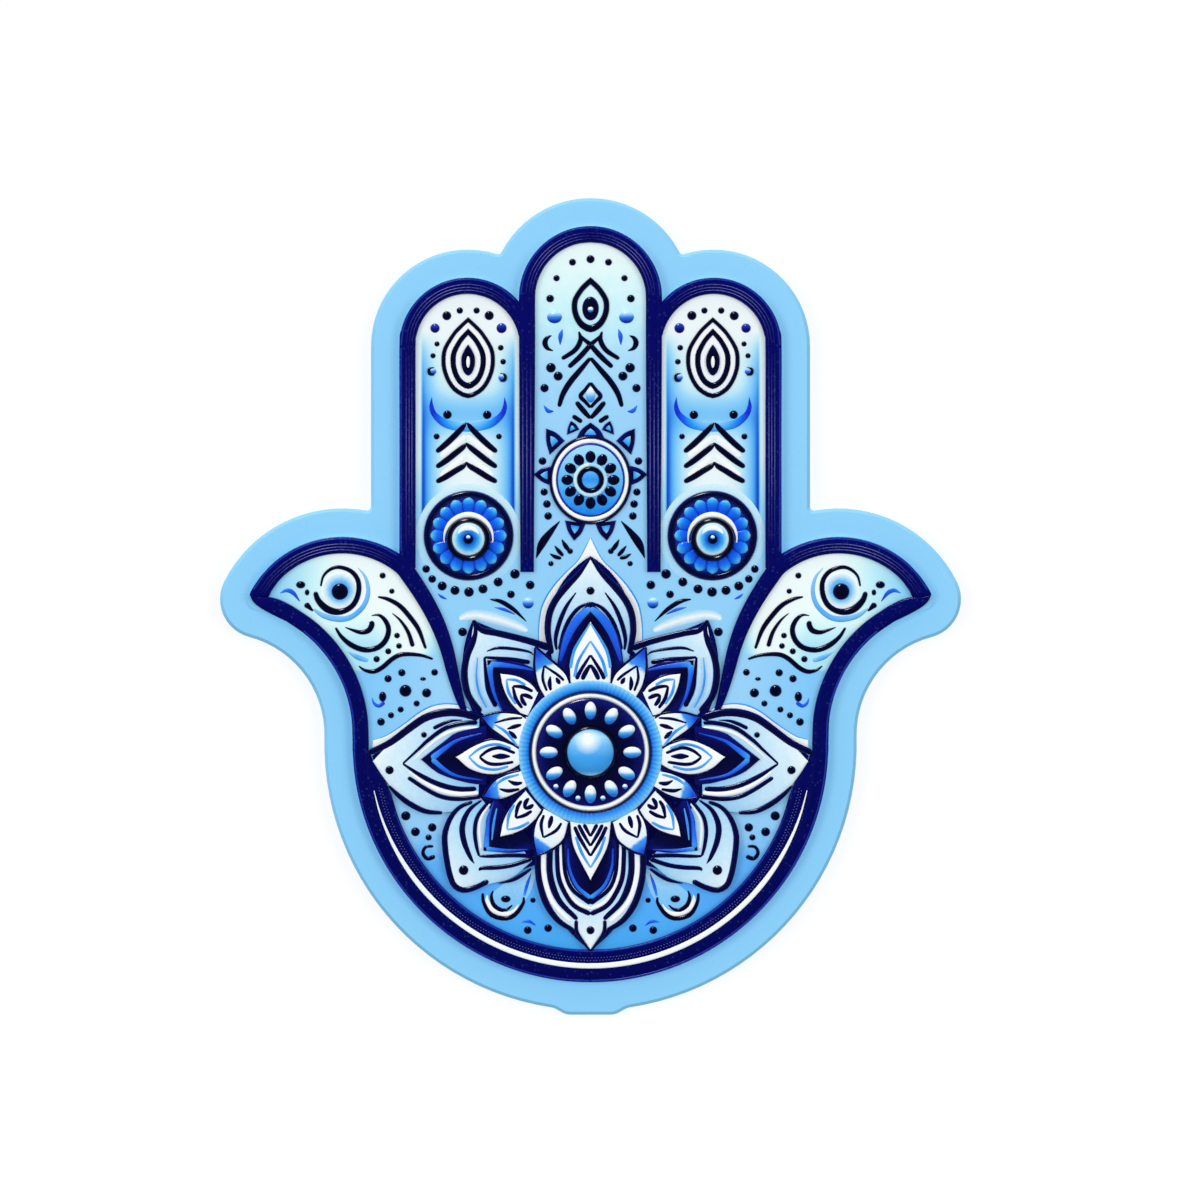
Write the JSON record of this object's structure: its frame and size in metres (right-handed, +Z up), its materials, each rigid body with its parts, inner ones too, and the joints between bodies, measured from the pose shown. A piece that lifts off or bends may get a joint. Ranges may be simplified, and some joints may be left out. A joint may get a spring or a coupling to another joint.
{
  "type": "hamsa hand wall ornament",
  "caption": "Layered hand-shaped wall plaque with arched fingers and flared thumbs, a lotus with a domed stone, eye medallions and a blind hanging bore in its back.",
  "frame": {"origin": "on the back face, on the axis of the lotus hub", "axes": "+Z up the fingers, +Y out of the back face towards the wall, +X to the right seen from the front"},
  "size_m": [0.1856, 0.0154, 0.2046],
  "materials": {
    "sky_acrylic": "cut cast acrylic with a bevelled and polished front edge",
    "field_acrylic": "cut cast acrylic, shaded from white to light blue",
    "navy_acrylic": "cut cast acrylic, polished",
    "white_acrylic": "cut cast acrylic, polished",
    "ice_acrylic": "cut cast acrylic, polished",
    "royal_acrylic": "cut cast acrylic, polished",
    "stone_resin": "cast resin dome, polished"
  },
  "bodies": {
    "root": {"back_plate": "sky_acrylic", "field_panel": "field_acrylic", "hand_frame": "navy_acrylic", "lotus_base": "navy_acrylic", "heart_rosette": "navy_acrylic", "hub_dish": "navy_acrylic", "hub_bezel": "navy_acrylic", "left_eye_rim": "navy_acrylic", "right_eye_rim": "navy_acrylic", "left_eye_ring": "navy_acrylic", "right_eye_ring": "navy_acrylic", "left_eye_pupil": "navy_acrylic", "right_eye_pupil": "navy_acrylic", "star_rim": "navy_acrylic", "star_studs": "navy_acrylic", "star_leaves": "navy_acrylic", "left_drops": "navy_acrylic", "right_drops": "navy_acrylic", "middle_drops": "navy_acrylic", "left_chevrons": "navy_acrylic", "right_chevrons": "navy_acrylic", "middle_feather": "navy_acrylic", "left_thumb_ring": "navy_acrylic", "right_thumb_ring": "navy_acrylic", "left_thumb_pupil": "navy_acrylic", "right_thumb_pupil": "navy_acrylic", "left_thumb_gills": "navy_acrylic", "right_thumb_gills": "navy_acrylic", "navy_dots": "navy_acrylic", "petal_dots": "navy_acrylic", "palm_blades": "navy_acrylic", "bowl_line": "white_acrylic", "white_petals": "white_acrylic", "hub_ring": "white_acrylic", "left_eye_white": "white_acrylic", "right_eye_white": "white_acrylic", "star_white": "white_acrylic", "petal_top": "ice_acrylic", "petal_upper_left": "ice_acrylic", "petal_upper_right": "ice_acrylic", "petal_left": "ice_acrylic", "petal_right": "ice_acrylic", "petal_lower_left": "ice_acrylic", "petal_lower_right": "ice_acrylic", "petal_bottom": "ice_acrylic", "tipped_petals": "ice_acrylic", "hub_beads": "ice_acrylic", "left_eye_iris": "ice_acrylic", "right_eye_iris": "ice_acrylic", "star_disc": "ice_acrylic", "star_boss": "ice_acrylic", "heart_flames": "royal_acrylic", "hub_collar": "royal_acrylic", "left_eye_scallop": "royal_acrylic", "right_eye_scallop": "royal_acrylic", "left_boat": "royal_acrylic", "right_boat": "royal_acrylic", "blue_beads": "royal_acrylic", "hub_stone": "stone_resin"}
  },
  "joints": []
}
